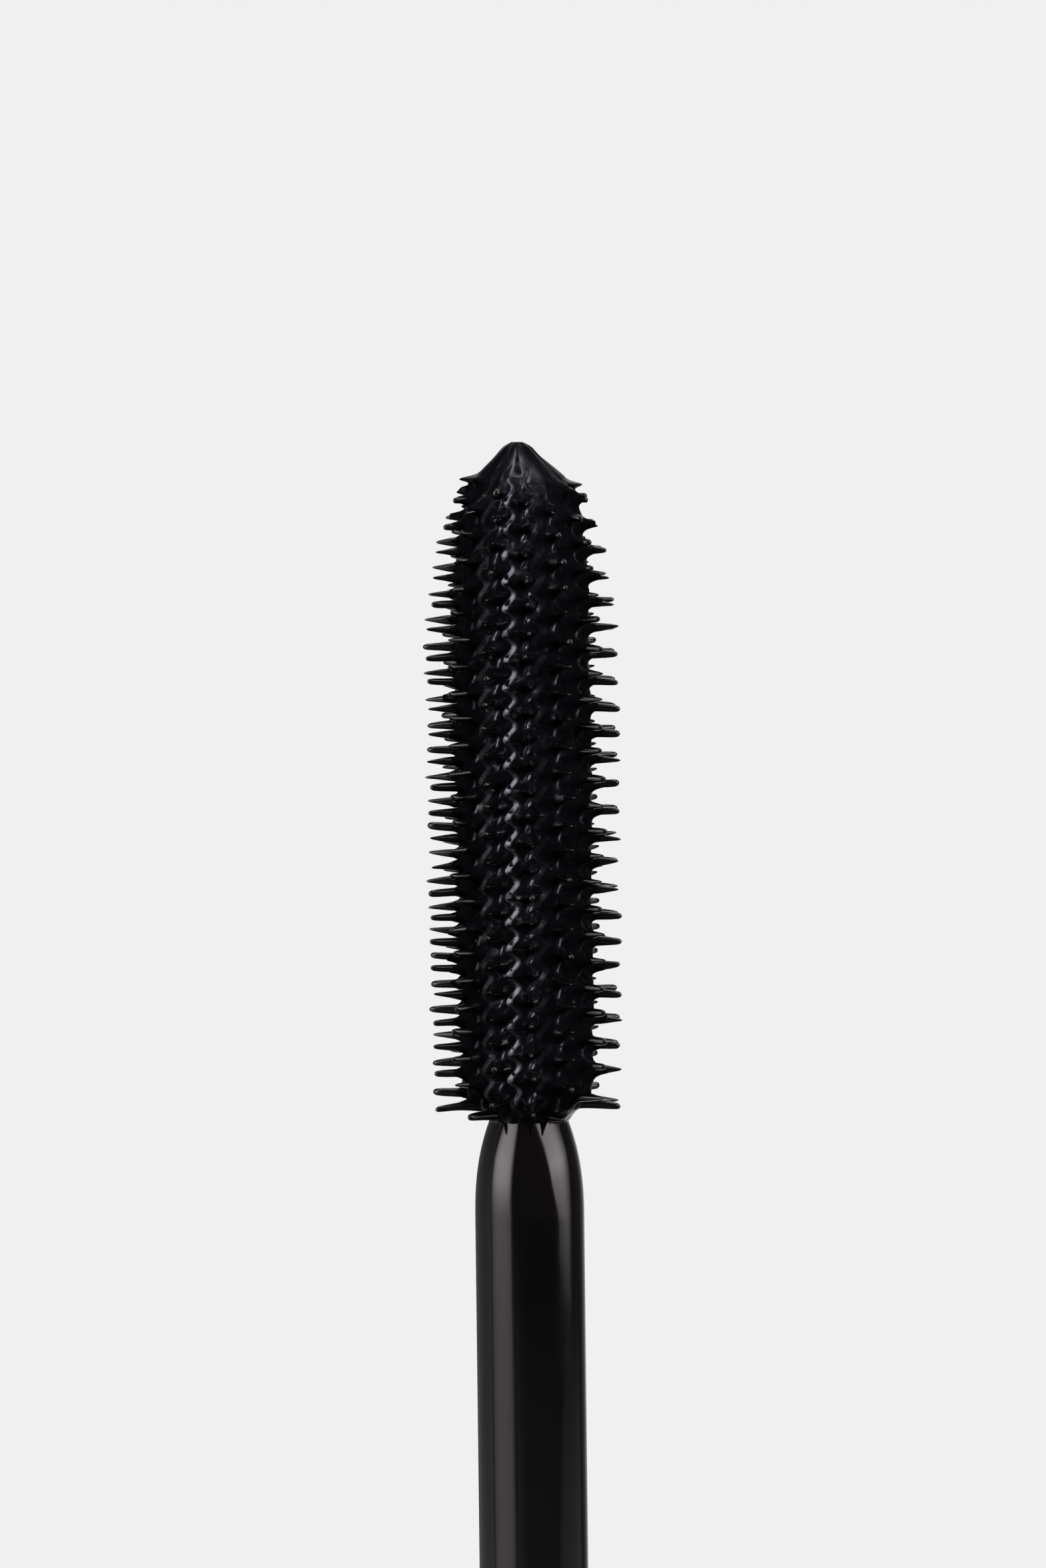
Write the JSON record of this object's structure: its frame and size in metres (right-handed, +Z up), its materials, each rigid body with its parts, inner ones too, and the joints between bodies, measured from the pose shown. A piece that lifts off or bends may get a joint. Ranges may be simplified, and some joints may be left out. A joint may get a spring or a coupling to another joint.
{
  "type": "mascara tube",
  "caption": "Slim cylindrical mascara container with a screw cap, a stem and a moulded bristle brush; the tube unscrews and draws off along its own axis.",
  "frame": {"origin": "centre of the flat end of the cap, on which the wand stands", "axes": "+Z runs up the wand from the cap to the brush and on through the drawn-off tube; -Y faces the viewer"},
  "size_m": [0.017, 0.017, 0.2095],
  "materials": {
    "cap_shell": "gloss black moulded plastic",
    "cap_end_disc": "blank satin disc",
    "cap_weight": "plain turned steel, hidden",
    "cap_insert": "natural moulded plastic, hidden",
    "seal_ring": "soft foam washer",
    "stem": "high gloss black moulded plastic",
    "brush_head": "black moulded elastomer",
    "formula": "wet black paste",
    "tube_collar": "bright metallised trim",
    "vial": "natural blow-moulded plastic",
    "wiper": "soft translucent elastomer",
    "tube_sleeve": "gloss black moulded plastic",
    "base_plug": "satin black moulded plastic",
    "base_label": "blank paper label"
  },
  "bodies": {
    "wand": {"cap_shell": "cap_shell", "cap_end_disc": "cap_end_disc", "cap_weight": "cap_weight", "cap_insert": "cap_insert", "seal_ring": "seal_ring", "stem": "stem", "brush_head": "brush_head"},
    "product": {"formula": "formula"},
    "collar": {"tube_collar": "tube_collar"},
    "tube": {"vial": "vial", "wiper": "wiper", "tube_sleeve": "tube_sleeve", "base_plug": "base_plug", "base_label": "base_label"}
  },
  "joints": [
    {"name": "tube_draw", "type": "slide", "parent": "wand", "child": "product", "axis": [0, 0, 1], "range_m": [-0.093, 0], "deforming": ["wiper"]},
    {"name": "screw_climb", "type": "slide", "parent": "product", "child": "collar", "axis": [0, 0, 1], "range_m": [-0.003, 0]},
    {"name": "tube_turn", "type": "hinge", "parent": "collar", "child": "tube", "pos_m": [0, 0, 0.128], "axis": [0, 0, 1], "range_deg": [-450, 0]}
  ],
  "couplings": [
    {"joint": "tube_turn", "follows": "screw_climb", "rad_per_m": 2618}
  ]
}
